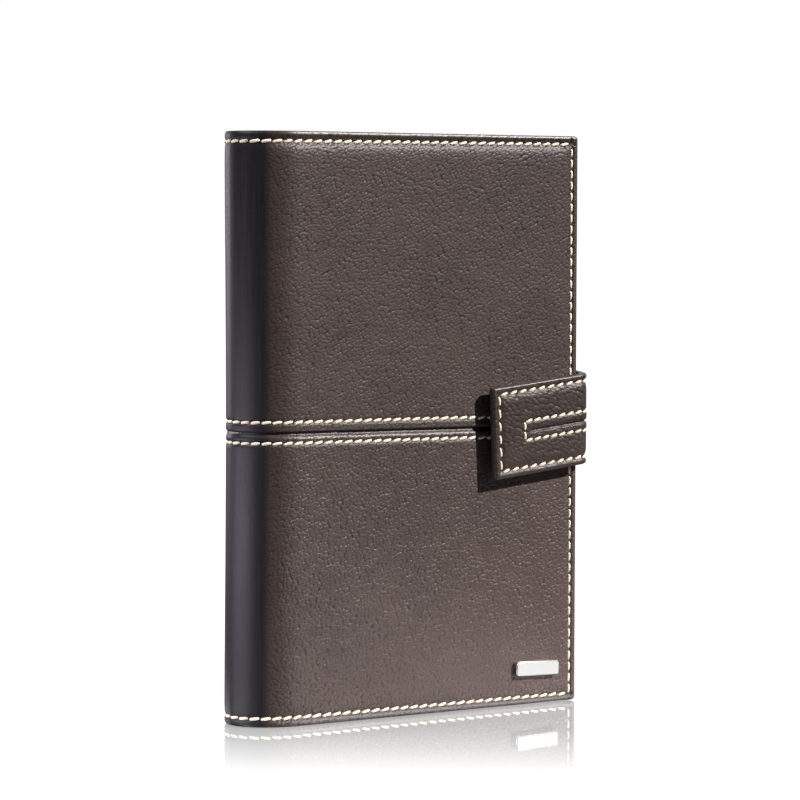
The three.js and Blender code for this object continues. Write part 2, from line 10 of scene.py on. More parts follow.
import bpy
import numpy as np
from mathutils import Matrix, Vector


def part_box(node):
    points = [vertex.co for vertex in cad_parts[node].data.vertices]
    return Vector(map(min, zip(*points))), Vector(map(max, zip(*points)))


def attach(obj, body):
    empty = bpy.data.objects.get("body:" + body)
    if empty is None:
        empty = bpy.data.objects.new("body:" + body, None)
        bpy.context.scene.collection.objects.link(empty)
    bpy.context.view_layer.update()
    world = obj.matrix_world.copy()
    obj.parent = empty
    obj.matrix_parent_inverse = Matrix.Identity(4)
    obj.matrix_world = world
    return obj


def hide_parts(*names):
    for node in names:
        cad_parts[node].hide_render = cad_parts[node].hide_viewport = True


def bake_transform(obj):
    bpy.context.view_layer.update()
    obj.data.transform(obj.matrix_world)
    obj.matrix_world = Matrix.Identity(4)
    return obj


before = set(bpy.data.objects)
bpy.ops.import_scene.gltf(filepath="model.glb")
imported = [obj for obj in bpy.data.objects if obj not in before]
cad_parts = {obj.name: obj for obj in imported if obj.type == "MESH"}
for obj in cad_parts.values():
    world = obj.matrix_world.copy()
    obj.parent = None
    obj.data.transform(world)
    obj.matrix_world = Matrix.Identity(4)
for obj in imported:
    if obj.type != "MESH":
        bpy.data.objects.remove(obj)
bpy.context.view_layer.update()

# %% [markdown]
# ## Working sizes
# A bookbinder measures from the spine, the tail and the middle of the book. The same is done here,
# in millimetres: x from the outermost line of the spine, y from the middle of the thickness and
# z from the tail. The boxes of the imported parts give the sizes, so the two models can't drift apart.

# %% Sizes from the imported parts
MM = 0.001
spine_low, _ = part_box("spine_leather_upper")
front_low, front_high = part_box("front_leather_upper")
_, back_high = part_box("back_leather_upper")
origin = np.array([spine_low.x, (front_low.y + back_high.y) / 2, 0.0])

book_height = front_high.z / MM
book_width = (front_high.x - spine_low.x) / MM
half_thick = (back_high.y - front_low.y) / 2 / MM
spine_depth = 19.0
cover_depth = (front_high.y - front_low.y) / MM
print(f"book {book_width:.1f} x {2 * half_thick:.1f} x {book_height:.1f} mm")


def place(points):
    """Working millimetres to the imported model's metres."""
    return np.asarray(points, float) * MM + origin


def in_millimetres(*points):
    """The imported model's metres to working millimetres."""
    return [(np.array(point) - origin) / MM for point in points]


# %% [markdown]
# ## The camera
# The book is seen from its left, a little from above, with a long lens from over a metre away.
# Place, lens and aim come from fitting the outline and the stitches, so the picture's middle is
# where the lens looks and no shift is needed.

# %% Camera
yaw, pitch, roll = (math.radians(degrees) for degrees in (34.022, 3.142, 0.182))
viewpoint = [-607.09, -990.79 - half_thick, 180.02]
camera_data = bpy.data.cameras.new("camera")
camera_data.lens, camera_data.sensor_width = 150.2, 36
camera_data.clip_start, camera_data.clip_end = 0.05, 20
camera = bpy.data.objects.new("camera", camera_data)
camera.location = place(viewpoint)
camera.rotation_euler = (math.pi / 2 - pitch, -roll, -yaw)
bpy.context.scene.collection.objects.link(camera)
bpy.context.scene.camera = camera
print("camera at", [round(v, 3) for v in camera.location])

# %% [markdown]
# ## Shader maths as plain expressions
# A finish is a recipe of small sums: how far a point is from a row of stitches, how deep a crease
# is. One class wraps an output socket, so that such a sum is written as it is on paper. Numbers go
# through Math nodes, directions through Vector Math, colours through Mix, and any other node comes
# from one method.


# %% The class for shader maths
class Wire:
    """An output socket of a material's node tree."""

    def __init__(self, tree, socket=None):
        self.tree = tree
        self.socket = socket

    def node(self, kind, settings=None, sockets=None, out=0):
        made = self.tree.nodes.new(kind)
        for key, value in (settings or {}).items():
            setattr(made, key, value)
        for key, value in (sockets or {}).items():
            self.feed(made.inputs[key], value)
        return Wire(self.tree, made.outputs[out] if made.outputs else None)

    def feed(self, target, value):
        """Link a wire to an input, or set a plain value there."""
        if isinstance(value, Wire):
            self.tree.links.new(value.socket, target)
        else:
            target.default_value = value

    def other(self, key):
        """Another output of the same node."""
        return Wire(self.tree, self.socket.node.outputs[key])

    def sum_of(self, operation, *values):
        sockets = dict(enumerate(values))
        return self.node("ShaderNodeMath", {"operation": operation}, sockets)

    def vector(self, operation, *values, out=0):
        sockets = dict(enumerate((self, *values)))
        return self.node("ShaderNodeVectorMath", {"operation": operation}, sockets, out)

    def __add__(self, other):
        return self.sum_of("ADD", self, other)

    __radd__ = __add__

    def __sub__(self, other):
        return self.sum_of("SUBTRACT", self, other)

    def __rsub__(self, other):
        return self.sum_of("SUBTRACT", other, self)

    def __mul__(self, other):
        return self.sum_of("MULTIPLY", self, other)

    __rmul__ = __mul__

    def __truediv__(self, other):
        return self.sum_of("DIVIDE", self, other)

    def __pow__(self, other):
        return self.sum_of("POWER", self, other)

    def __abs__(self):
        return self.sum_of("ABSOLUTE", self)

    def least(self, other):
        return self.sum_of("MINIMUM", self, other)

    def most(self, other):
        return self.sum_of("MAXIMUM", self, other)

    def step(self, start, end):
        """0 before start, 1 after end, and smooth between them."""
        settings = {"interpolation_type": "SMOOTHSTEP"}
        return self.node("ShaderNodeMapRange", settings,
                         {"Value": self, "From Min": start, "From Max": end})

    def mix(self, first, second):
        """Two colours by this wire: 0 is the first."""
        return self.node("ShaderNodeMix", {"data_type": "RGBA"}, {0: self, 6: first, 7: second}, 2)


# %% [markdown]
# ## Materials
# Every finish starts the same way: a principled surface, with a bump that stands in for relief too
# fine to model. `finish` makes one, and each recipe then fills in colour, roughness and height.
# Leather, thread and paper carry a map of millimetres, so their detail has its real size and stays
# on the surface as it bends.


# %% Start of every finish
def colour(red, green, blue):
    return (red, green, blue, 1.0)


def finish(name, recipe, depth=0.1, **constants):
    """recipe(wire) gives a dict with Base Color, Roughness and a height; depth is in millimetres."""
    material = bpy.data.materials.new(name)
    material.use_nodes = True
    wire = Wire(material.node_tree)
    shader = material.node_tree.nodes["Principled BSDF"]
    for key, value in {**constants, **recipe(wire)}.items():
        if key == "height":
            key = "Normal"
            value = wire.node("ShaderNodeBump", {}, {"Height": value, "Distance": depth * MM})
        wire.feed(shader.inputs[key], value)
    return material


def surface_map(wire):
    """The map in millimetres: the whole vector, and its two numbers."""
    mapped = wire.node("ShaderNodeUVMap", {"uv_map": "leather_mm"})
    parts = mapped.node("ShaderNodeSeparateXYZ", {}, {0: mapped})
    return mapped, parts, parts.other(1)


def noise(where, scale, detail=2.0, rough=0.5):
    return where.node("ShaderNodeTexNoise", {"noise_dimensions": "3D"},
                      {"Vector": where, "Scale": scale, "Detail": detail, "Roughness": rough})


def cells(where, scale):
    return where.node("ShaderNodeTexVoronoi", {"feature": "F1", "voronoi_dimensions": "2D"},
                      {"Vector": where, "Scale": scale, "Randomness": 0.9})


# %% [markdown]
# ## The leather
# The cover is calf or a good imitation with a pebbled grain: rounded pebbles a little over a
# millimetre across, parted by fine creases. Cells from a Voronoi texture give pebbles, noise bends
# the cells so that they don't look drawn, and a second, finer set breaks up the larger ones.
# The spine is the same hide, stretched smooth over the board, so its grain is shallow; its colour is
# painted shade, a cool near-black for the round that turns from the key lamp. The needle holes between
# two stitches are painted dark, as painted shade. Hands have polished the lower lip of the seam and
# the roll at the head, and the roll at the tail has a painted pale sheen, a painted reflection of the
# white table. The rows of stitches are given first, because the finish and the thread both need them.

# %% Rows of stitches, as the finish sees them
stitch_pitch = 4.159
stitch_phase = 2.47
row_inset = 3.1
fore_inset = 3.0
seam_height = 103.5
seam_row = 3.7
seam_rise, seam_fall, seam_start = 0.5, 0.0078, 22.0
hole_edge = (0.45, 1.0)


def seam_at(s):
    """Height of the seam: level round the spine, and then a little lower towards the fore edge."""
    return seam_height + seam_rise - seam_fall * np.maximum(np.asarray(s) - seam_start, 0)


def needle_holes(across, along, phase):
    """1 in a hole between two stitches and 0 away from it."""
    beat = (along - phase) / stitch_pitch + 0.5
    beside = abs(beat.sum_of("FRACT", beat) - 0.5) * stitch_pitch
    reach = (across * across + beside * beside) ** 0.5
    return 1 - reach.step(*hole_edge)


print(f"{(book_width - spine_depth) / stitch_pitch:.0f} stitches along the straight part of a row")

# %% The grain
grain_lie = math.radians(24)
grain_stretch = 0.68
grain_bend = 0.6


def grain(wire, size):
    """Height of pebbled leather from 0 to 1, with pebbles of this size in millimetres. They are
    drawn out along the lie of the hide, and the finer wrinkles of a hide lie over them."""
    _, along, up = surface_map(wire)
    lengthwise, crosswise = math.cos(grain_lie), math.sin(grain_lie)
    drawn = along * (grain_stretch * lengthwise) + up * (grain_stretch * crosswise)
    across = up * lengthwise - along * crosswise
    flat = along.node("ShaderNodeCombineXYZ", {}, {0: drawn, 1: across})
    bent = noise(flat, 0.5, 2.0).other(1).vector("MULTIPLY_ADD", (grain_bend,) * 3, flat)
    dome = cells(bent, 1 / size) * 1.3
    small = cells(bent, 1.9 / size) * 1.3
    firm = 0.7 + noise(flat, 0.22, 2.0).step(0.35, 0.65) * 0.3
    return ((1 - dome * dome) * 0.84 + (1 - small * small) * 0.12) * firm + noise(flat, 2.2, 3.0) * 0.12


# %% Colours of the case
leather_brown = colour(0.058, 0.0405, 0.0385)
leather_light = colour(0.086, 0.060, 0.055)
# painted shade: a darker colour for the creases of the grain and for the bend at the spine
leather_painted_shade = colour(0.022, 0.013, 0.012)
spine_shade_black = colour(0.007, 0.006, 0.009)
spine_shade_grey = colour(0.012, 0.011, 0.014)
hole_shade_black = colour(0.008, 0.006, 0.006)
slot_shade_black = colour(0.012, 0.010, 0.011)
painted_sheen_grey = colour(0.125, 0.118, 0.128)
spine_edge, spine_soft = 15.4, 1.6


# %% Leather of the case
def case_leather(wire):
    mapped, along, up = surface_map(wire)
    relief = grain(wire, 0.97)
    on_cover = along.step(spine_edge - spine_soft, spine_edge + spine_soft)
    # painted shade in the creases: the low parts of the grain are coloured darker
    brown = relief.step(0.0, 0.75).mix(leather_painted_shade, leather_brown)
    paler_and_painted_light = noise(mapped, 0.035, 3.0).step(0.35, 0.75) * 0.3
    # painted light: the hide is coloured paler towards the foot of the fore edge, and painted shade
    # makes it darker where it bends at the spine
    paler_and_painted_light = paler_and_painted_light + (along * 1.2 - up + 5.0).step(0.0, 260.0) * 1.4
    brown = paler_and_painted_light.least(1.0).mix(brown, leather_light)
    brown = ((1 - along.step(15.0, 31.0)) * 0.5).mix(brown, leather_painted_shade)
    upright = along.node("ShaderNodeCombineXYZ", {}, {0: along * 1.6, 1: up * 0.035})
    streaks = noise(upright, 1.0, 3.0, 0.65)
    # painted shade: off the cover the hide is coloured a cool near-black, for the round of the spine
    tone = on_cover.mix(streaks.step(0.3, 0.7).mix(spine_shade_black, spine_shade_grey), brown)
    middle = up - (seam_height + seam_rise) + (along - seam_start).most(0.0) * seam_fall
    rows = [
        (up - (book_height - row_inset), along, stitch_phase),
        (up - row_inset, along, stitch_phase),
        (abs(middle) - seam_row, along, stitch_phase),
        (along - (case_reach - fore_inset), up, fore_phase),
    ]
    holes = needle_holes(*rows[0])
    for row in rows[1:]:
        holes = holes.most(needle_holes(*row))
    # painted shade: the needle holes between two stitches are coloured near-black
    tone = (holes * 0.95).mix(tone, hole_shade_black)
    # the grain is bolder at the foot, and rubbed flat on the seam's lower lip and on the head
    coarser = 1.55 - up.step(40.0, 150.0) * 0.57
    slot = 1 - abs(middle).step(0.3, 0.6)
    lower_lip = (-1 * middle).step(0.3, 0.6) * (1 - (-1 * middle).step(1.8, 2.3))
    head = (up - book_height + 2.0).step(0.0, 0.5)
    burnished = (head * 0.65).most(lower_lip * 0.6) * on_cover
    # painted shade: the slot between the seam's two lips is coloured near-black
    tone = (slot * 0.9).mix(tone, slot_shade_black)
    # painted sheen: a pale band under the tail row, a painted reflection of the white table
    tail_sheen = up.step(0.5, 1.3) * (1 - up.step(2.0, 2.4)) * along.step(20.0, 40.0)
    tone = (tail_sheen * 0.7).mix(tone, painted_sheen_grey)
    rough = 0.49 - relief * 0.05 - burnished * 0.16 + (1 - on_cover) * (streaks - 0.5) * 0.2
    pressed = relief * (on_cover * 0.92 + 0.08) * (1 - burnished * 0.85) * coarser
    return {"Base Color": tone, "Roughness": rough, "Specular IOR Level": 0.32,
            "height": pressed - holes * 1.2}


# %% Leather of the strap
strap_brown = colour(0.039, 0.027, 0.0255)
strap_light = colour(0.064, 0.045, 0.042)
strap_wide, sewn_middle = 33.7, 105.5


def strap_leather(wire):
    mapped, along, up = surface_map(wire)
    relief = grain(wire, 1.25)
    # painted shade in the creases: the low parts of the grain are coloured darker
    brown = relief.step(0.2, 0.8).mix(leather_painted_shade, strap_brown)
    paler_and_painted_light = noise(mapped, 0.09, 3.0).step(0.35, 0.8) * 0.5
    # painted light: the lower half of the strap is coloured paler
    paler_and_painted_light = paler_and_painted_light + (sewn_middle + 4.5 - up).step(0.0, 24.0) * 0.5
    brown = paler_and_painted_light.mix(brown, strap_light)
    # outside its stitches the strap's edge is pressed flat
    edge = (abs(up - sewn_middle) - strap_wide / 2 + 1.9).step(0.0, 0.5)
    return {"Base Color": brown, "Roughness": 0.48 - relief * 0.05 - edge * 0.08,
            "Specular IOR Level": 0.32, "height": relief * (1 - edge * 0.6)}


# %% [markdown]
# ## Thread, paper, cloth, board and metal
# The thread is a thick waxed one, cream, with a painted warm shade in the grooves of its twist,
# which shows as slanted ribs.
# Page edges are hundreds of leaves: fine lines, side by side from cover to cover. The lining is a
# dark laid paper, the bands at head and tail are woven, the boards are grey pulp. The plate is
# polished metal with faint scratches, and the magnets are plain nickel.

# %% Thread and the edges of the pages
def thread(wire):
    mapped, along, around = surface_map(wire)
    twist = (along * 1.1 + around * 0.9) * math.tau
    rib = twist.sum_of("SINE", twist) * 0.5 + 0.5
    # painted shade: the grooves between the ribs of the twist are coloured a darker warm tone
    tone = rib.step(0.0, 0.5).mix(colour(0.80, 0.61, 0.38), colour(1.0, 0.94, 0.81))
    return {"Base Color": tone, "Roughness": 0.5, "height": rib * 0.3 + noise(mapped, 9.0, 2.0) * 0.3}


def page_paper(wire):
    mapped, _, _ = surface_map(wire)
    leaves = noise(mapped.vector("MULTIPLY", (0.003, 9.0, 1.0)), 1.0, 3.0, 0.7)
    tone = leaves.step(0.3, 0.7).mix(colour(0.62, 0.56, 0.43), colour(0.86, 0.82, 0.71))
    return {"Base Color": tone, "Roughness": 0.9, "height": leaves}


# %% Lining, boards, foam and cloth
def solid_place(wire):
    return wire.node("ShaderNodeTexCoord", {}, {}, 3)


def bands(where, direction, scale, wander=0.0):
    return where.node("ShaderNodeTexWave", {"bands_direction": direction},
                      {"Vector": where, "Scale": scale, "Distortion": wander})


def lining_paper(wire):
    where = solid_place(wire)
    laid = bands(where, "Z", 320.0, 1.5)
    fibre = noise(where, 700.0, 3.0, 0.7)
    mottled = (fibre * 0.7 + laid * 0.3).step(0.2, 0.8)
    tone = mottled.mix(colour(0.050, 0.043, 0.040), colour(0.085, 0.074, 0.068))
    return {"Base Color": tone, "Roughness": 0.82, "height": fibre * 0.6 + laid * 0.4}


def porous(scale, detail, rough, dark, light):
    """Recipe of a dull material full of pores: the pulp of a board, or foam."""

    def recipe(wire):
        pores = noise(solid_place(wire), scale, detail, rough)
        tone = pores.step(0.3, 0.7).mix(dark, light)
        return {"Base Color": tone, "Roughness": 0.95, "height": pores}

    return recipe


board_pulp = porous(1400.0, 4.0, 0.7, colour(0.20, 0.18, 0.16), colour(0.33, 0.31, 0.28))
padding_foam = porous(2500.0, 2.0, 0.6, colour(0.42, 0.39, 0.32), colour(0.58, 0.55, 0.48))


def woven_cloth(wire):
    where = solid_place(wire)
    warp, weft = bands(where, "Y", 330.0), bands(where, "Z", 500.0)
    tone = warp.step(0.35, 0.65).mix(colour(0.30, 0.20, 0.14), colour(0.78, 0.71, 0.57))
    return {"Base Color": tone, "Roughness": 0.9, "height": warp * 0.6 + weft * 0.4}


# %% Plate and magnets
def polished_plate(wire):
    brushed = solid_place(wire).vector("MULTIPLY", (1.0, 1.0, 60.0))
    lines = noise(brushed, 160.0, 3.0, 0.6)
    tone = lines.step(0.2, 0.8).mix(colour(0.84, 0.835, 0.82), colour(0.91, 0.90, 0.885))
    return {"Base Color": tone, "Roughness": 0.05 + lines * 0.08, "height": lines}


def nickel(wire):
    lines = noise(solid_place(wire), 900.0, 3.0, 0.6)
    tone = lines.mix(colour(0.52, 0.51, 0.50), colour(0.66, 0.65, 0.63))
    return {"Base Color": tone, "Roughness": 0.3 + lines * 0.15, "height": lines}


# %% [markdown]
# ## How a sheet of leather is laid
# Cover, spine and strap are all one kind of job: a flat sheet follows a path seen from above, its
# far end and its two long edges are rounded over and turned in, and rows of stitches pull it down.
# So one class makes them all. Near the edges the grid follows rings that shrink towards the
# inside, which gives a clean mitre and a rounded corner. The map in millimetres is written at the
# same time.

# %% Mesh helper


def make_mesh(name, points, faces, mapped, material, smooth=True):
    mesh = bpy.data.meshes.new(name)
    mesh.from_pydata([tuple(p) for p in points], [], [tuple(f) for f in faces])
    layer = mesh.uv_layers.new(name="leather_mm")
    corners = np.zeros(len(mesh.loops), int)
    mesh.loops.foreach_get("vertex_index", corners)
    layer.data.foreach_set("uv", np.asarray(mapped, np.float32)[corners].ravel())
    mesh.polygons.foreach_set("use_smooth", [smooth] * len(mesh.polygons))
    mesh.materials.append(material)
    mesh.update()
    made = bpy.data.objects.new(name, mesh)
    bpy.context.scene.collection.objects.link(made)
    return made


def grid_faces(rows, columns, flip=False):
    index = np.arange(rows * columns).reshape(rows, columns)
    quads = [index[:-1, :-1], index[1:, :-1], index[1:, 1:], index[:-1, 1:]]
    if flip:
        quads = quads[::-1]
    return np.stack(quads, -1).reshape(-1, 4)


# %% The sheet


class Sheet:
    """Leather along a path. path(s) gives x, y and the outward normal; rim is a list of
    (inset at the far end, inset at the long edges, depth), from the face round to the inside."""

    def __init__(self, path, reach, low, high, rim, corner, relief, shape=None):
        self.path, self.reach, self.low, self.high = path, reach, low, high
        self.rim, self.corner, self.relief, self.shape = rim, corner, relief, shape
        self.middle, self.half = (low + high) / 2, (high - low) / 2

    def at(self, s, z, depth):
        """Points of the model at these places on the sheet, this deep below its plain face."""
        x, y, nx, ny = self.path(s)
        points = np.stack([x - nx * depth, y - ny * depth, z], -1)
        return place(self.shape(points, s) if self.shape else points)

    def grid(self, along, up):
        """Sheet with these plain stations; the rims are added at the far end and both edges."""
        ends = [inset for inset, _, _ in self.rim]
        sides = [inset for _, inset, _ in self.rim]
        depths = np.array([depth for _, _, depth in self.rim])
        count = len(self.rim)
        s = np.concatenate([along, [self.reach - e for e in ends]])
        s_ring = np.concatenate([np.full(len(along), -1), np.arange(count)])
        z = np.concatenate([self.low + np.array(sides[::-1]), up, self.high - np.array(sides)])
        z_ring = np.concatenate([np.arange(count)[::-1], np.full(len(up), -1), np.arange(count)])
        S, Z = np.meshgrid(s, z, indexing="ij")
        RS, RZ = np.meshgrid(s_ring, z_ring, indexing="ij")
        ring = np.maximum(RS, RZ)
        end = np.append(ends, 0.0)[ring]
        side = np.append(sides, 0.0)[ring]
        inside = ring < 0
        s_end = np.where(inside, self.reach, self.reach - end)
        S1 = np.minimum(S, s_end)
        way = np.where(Z >= self.middle, 1.0, -1.0)
        z_end = np.maximum(self.half - side, 0)
        Z1 = np.minimum(np.abs(Z - self.middle), z_end)
        radius = np.maximum(self.corner - np.minimum(end, side), 1e-6)
        from_s, from_z = s_end - S1, z_end - Z1
        near = (~inside) & (from_s < radius) & (from_z < radius)
        turn = np.pi / 4 * (1 + np.where(RS <= RZ, from_s, -from_z) / radius)
        S2 = np.where(near, s_end - radius * (1 - np.cos(turn)), S1)
        Z2 = np.where(near, z_end - radius * (1 - np.sin(turn)), Z1)
        depth = np.where(inside, 0.0, np.append(depths, 0)[ring])
        height = self.middle + way * Z2
        depth = depth + self.relief(S2, height, ring)
        mapped = self.unfolded(S, Z, RS, RZ)
        return self.at(S2.ravel(), height.ravel(), depth.ravel()), S.shape, mapped

    def unfolded(self, S, Z, RS, RZ):
        """Distance along the hide, so the grain runs on round the edge."""
        rim = np.array(self.rim)
        outer = int(np.argmin(rim[:, 0]))
        run = np.concatenate([[0], np.cumsum(np.hypot(np.diff(rim[:, 0]), np.diff(rim[:, 2])))])
        over = run - run[outer]
        s_map = np.where(RS > outer, self.reach + over[RS], S)
        way = np.where(Z >= self.middle, 1.0, -1.0)
        z_map = np.where(RZ > outer, self.middle + way * (self.half + over[RZ]), Z)
        return np.stack([s_map.ravel(), z_map.ravel()], -1)

    def piece(self, name, along, up, flip, material):
        points, shape, mapped = self.grid(along, up)
        return make_mesh(name, points, grid_faces(*shape, flip), mapped, material)


# %% [markdown]
# ## The case
# The case is two mirrored sheets that meet on the middle line of the spine. Seen from above, each
# follows a quarter of an ellipse round the spine and then runs straight to the fore edge. The edge
# has a rounded bead, then a valley where the stitches pull the leather down on the board, and then
# the padding swells. Across the middle two pieces of leather meet: both are folded under and sewn
# 3.7 mm from the seam, and a thin slot stays open between their lips. It could be sculpted by hand,
# but a height for every place on the hide can be measured, changed and mirrored.

# %% Path of the case
quarter = np.linspace(0, np.pi / 2, 401)
arc_x = spine_depth - spine_depth * np.cos(quarter)
arc_y = half_thick * np.sin(quarter)
arc_run = np.concatenate([[0], np.cumsum(np.hypot(np.diff(arc_x), np.diff(arc_y)))])
arc_length = arc_run[-1]
fore_overhang = 0.45
case_reach = arc_length + book_width - spine_depth + fore_overhang
fore_phase = 0.6
print(f"leather from the middle of the spine to the fore edge: {case_reach:.1f} mm")


def case_path(side):
    """side is -1 for the front half and 1 for the back half."""

    def path(s):
        turn = np.interp(s, arc_run, quarter)
        straight = np.maximum(np.asarray(s) - arc_length, 0)
        x = spine_depth - spine_depth * np.cos(turn) + straight
        nx, ny = -np.cos(turn) * half_thick, np.sin(turn) * spine_depth
        size = np.hypot(nx, ny)
        return x, side * half_thick * np.sin(turn), nx / size, side * ny / size

    return path


# %% Relief of the case
def bell(value, width):
    return np.exp(-(value / width) ** 2)


def smooth_step(value, start, end):
    t = np.clip((value - start) / (end - start), 0, 1)
    return t * t * (3 - 2 * t)


spine_stack = 2.9
tail_sink, head_sink, waist_depth = 0.65, 0.6, 0.7
row_groove, lip_drop = 0.5, 1.1


def valley_share(s, z):
    """How deep the stitched valley is: less round the spine, at the fore edge and in its corners."""
    from_edge, from_fore = np.minimum(z, book_height - z), case_reach - s
    spine = 1 - smooth_step(s, 10.0, 24.0)
    fore = smooth_step(from_edge - from_fore, -1.5, 1.5)
    corner = (1 - smooth_step(from_fore, 2.0, 8.0)) * (1 - smooth_step(from_edge, 2.0, 8.0))
    return (1 - 0.75 * spine) * (1 - 0.6 * fore) * (1 - 0.5 * corner)


def settle(points, s):
    """The sewn rows sink a little, at the tail towards the fore edge and at the head near the
    spine, and the spine is drawn in at half its height."""
    x, y, z = points[..., 0], points[..., 1], points[..., 2]
    along = np.clip((s - arc_length) / (case_reach - arc_length), 0, 1)
    tail = smooth_step(z, 0.0, row_inset) * (1 - smooth_step(z, 6.0, 30.0))
    head = smooth_step(z, book_height - 30.0, book_height - 6.0)
    head = head * (1 - smooth_step(z, book_height - row_inset, book_height))
    waist = (1 - smooth_step(s, 6.0, 24.0)) * bell(z - book_height / 2, 75.0)
    sunk = tail_sink * along * tail + head_sink * (1 - along) * head
    return np.stack([x + waist_depth * waist, y, z - sunk], -1)


def case_relief(s, z, ring):
    middle = np.abs(z - seam_at(s))
    face = ring < rim_outer
    rows = row_groove * bell(middle - seam_row, 0.7)
    # the upper lip drops off sharply, and the lower one slopes up to the light
    shoulder = np.where(z > seam_at(s), 0.7, 2.0)
    lips = lip_drop * (1 - smooth_step(middle, 0.1, shoulder))
    lips = lips * (0.45 + 0.55 * smooth_step(s, 10.0, 24.0))
    # the turned-in leather lies closer behind the thin board of the spine
    depths = np.append([d for _, _, d in case_rim], 0)[ring]
    thin = (1 - smooth_step(s, arc_length - 1, arc_length + 3)) * (1 - spine_stack / cover_depth)
    shallow = np.where(ring < bead_start, depths, 0) * (1 - valley_share(s, z))
    return np.where(face, rows + lips - shallow, 0) - np.where(face, 0, depths * thin)


# %% Rim of the case, and its stations
case_rim = [
    (12.0, 12.0, 0.0), (9.0, 9.5, 0.02), (6.6, 7.4, 0.08), (5.0, 5.9, 0.22), (4.0, 4.9, 0.46),
    (3.35, 4.2, 0.8), (2.95, 3.7, 1.12), (2.7, 3.3, 1.28), (2.5, 2.95, 1.3), (2.35, 2.65, 1.2),
    (2.2, 2.35, 0.92), (2.05, 2.05, 0.58), (1.85, 1.75, 0.32), (1.5, 1.4, 0.14), (1.1, 1.1, 0.08),
    (0.8, 0.85, 0.13), (0.45, 0.52, 0.26), (0.16, 0.22, 0.39), (0.04, 0.07, 0.64), (0.0, 0.0, 1.3),
    (0.0, 0.0, 2.4), (0.02, 0.02, 3.1), (0.15, 0.15, 3.7), (0.35, 0.35, 4.05), (0.6, 0.6, 4.25),
    (1.0, 1.0, 4.37), (1.5, 1.5, 4.4), (4.0, 4.0, 4.4), (8.0, 8.0, 4.4), (12.0, 12.0, 4.4),
]
rim_outer = 20
bead_start = 14


def spread(*parts):
    """Stations from (start, end, count) parts, each without its last point."""
    return np.concatenate([np.linspace(a, b, n, endpoint=False) for a, b, n in parts])


# %% The two halves of the case
case_material = finish("case_leather", case_leather, depth=0.15)
case_along = spread((0, arc_length - 4, 22), (arc_length - 4, arc_length + 5, 18),
                    (arc_length + 5, case_reach - 12, 46))
seam_zone, case_corner, case_margin = 6.5, 1.4, 13.5
seam_low, seam_top = seam_height - seam_zone, seam_height + seam_zone
case_top = book_height - case_margin
case_up = np.append(spread((case_margin, seam_low, 34), (seam_low, seam_top, 53),
                           (seam_top, case_top, 38)), case_top)
case_sheets = {side: Sheet(case_path(way), case_reach, 0.0, book_height, case_rim, case_corner,
                           case_relief, settle)
               for side, way in (("front", -1), ("back", 1))}


def across_hinge(piece, side):
    """Bakes the piece's place into its points."""
    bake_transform(piece)


case_parts = ("leather_upper", "leather_lower", "joint_leather_upper", "joint_leather_lower",
              "seam_strip")
for side, sheet in case_sheets.items():
    case = sheet.piece(f"{side}_case", case_along, case_up, side == "back", case_material)
    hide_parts(*[f"{side}_{part}" for part in case_parts],
                "spine_leather_upper", "spine_leather_lower", "spine_seam_strip")
    across_hinge(case, side)
    print(case.name, "has", len(case.data.polygons), "faces")

# %% [markdown]
# ## The stitches
# A stitch is a short fat length of thread that comes up through one hole and goes down through the
# next. Along a level row each leans, its left end lower, because the thread is pulled to one side
# of its hole, and round the spine it leans less. Each is a tube with tapered ends that dips into
# the leather at both holes. It is worked out on the sheet's own surface, so a row runs round the
# spine by itself.

# %% One stitch and a row of them
thread_material = finish("cream_thread", thread, depth=0.08)
stitch_width, stitch_flat, stitch_tip = 0.54, 0.85, 0.25
stitch_rise, stitch_sink = 0.5, 0.3
stitch_steps, stitch_sides = 11, 8


def stitch(sheet, start, end, floor):
    """Tube from start to end, both (s, z) on the sheet; floor is the leather's depth there."""
    t = np.linspace(0, 1, stitch_steps)
    s = start[0] + (end[0] - start[0]) * t
    z = start[1] + (end[1] - start[1]) * t
    arch = np.sin(np.pi * t) ** 0.4
    swell = np.clip(np.sin(np.pi * t), 0, 1) ** 0.25
    thick = stitch_width * (stitch_tip + (1 - stitch_tip) * swell)
    rise = stitch_rise * arch - stitch_sink
    length = math.hypot(end[0] - start[0], end[1] - start[1])
    side_s, side_z = -(end[1] - start[1]) / length, (end[0] - start[0]) / length
    points, mapped = [], []
    for k in range(stitch_sides + 1):
        turn = math.tau * k / stitch_sides
        wide, high = thick * math.cos(turn), thick * stitch_flat * math.sin(turn)
        points.append(sheet.at(s + side_s * wide, z + side_z * wide, floor - rise - high))
        mapped.append(np.stack([t * length, np.full_like(t, k / stitch_sides)], -1))
    return np.stack(points), np.stack(mapped)


def sew(name, sheet, stitches):
    """All stitches as one piece. Each is (start, end, floor)."""
    points, mapped, faces = [], [], []
    tube = grid_faces(stitch_sides + 1, stitch_steps)
    block = (stitch_sides + 1) * stitch_steps
    for n, one in enumerate(stitches):
        p, m = stitch(sheet, *one)
        points.append(p.reshape(-1, 3))
        mapped.append(m.reshape(-1, 2))
        faces.append(tube + n * block)
    together = [np.concatenate(part) for part in (points, faces, mapped)]
    made = make_mesh(name, *together, thread_material)
    print(name, "has", len(stitches), "stitches")
    return made


def level_row(z, centres, floor, lean, length=3.95):
    return [((c - length / 2, z - lean), (c + length / 2, z + lean), floor) for c in centres]


def upright_row(s, centres, floor, lean, length=3.5):
    return [((s - lean, c - length / 2), (s + lean, c + length / 2), floor) for c in centres]


# %% Stitches of the case
stitch_lean, spine_lean = 0.5, 0.45
head_floor = 1.28
seam_floor = row_groove


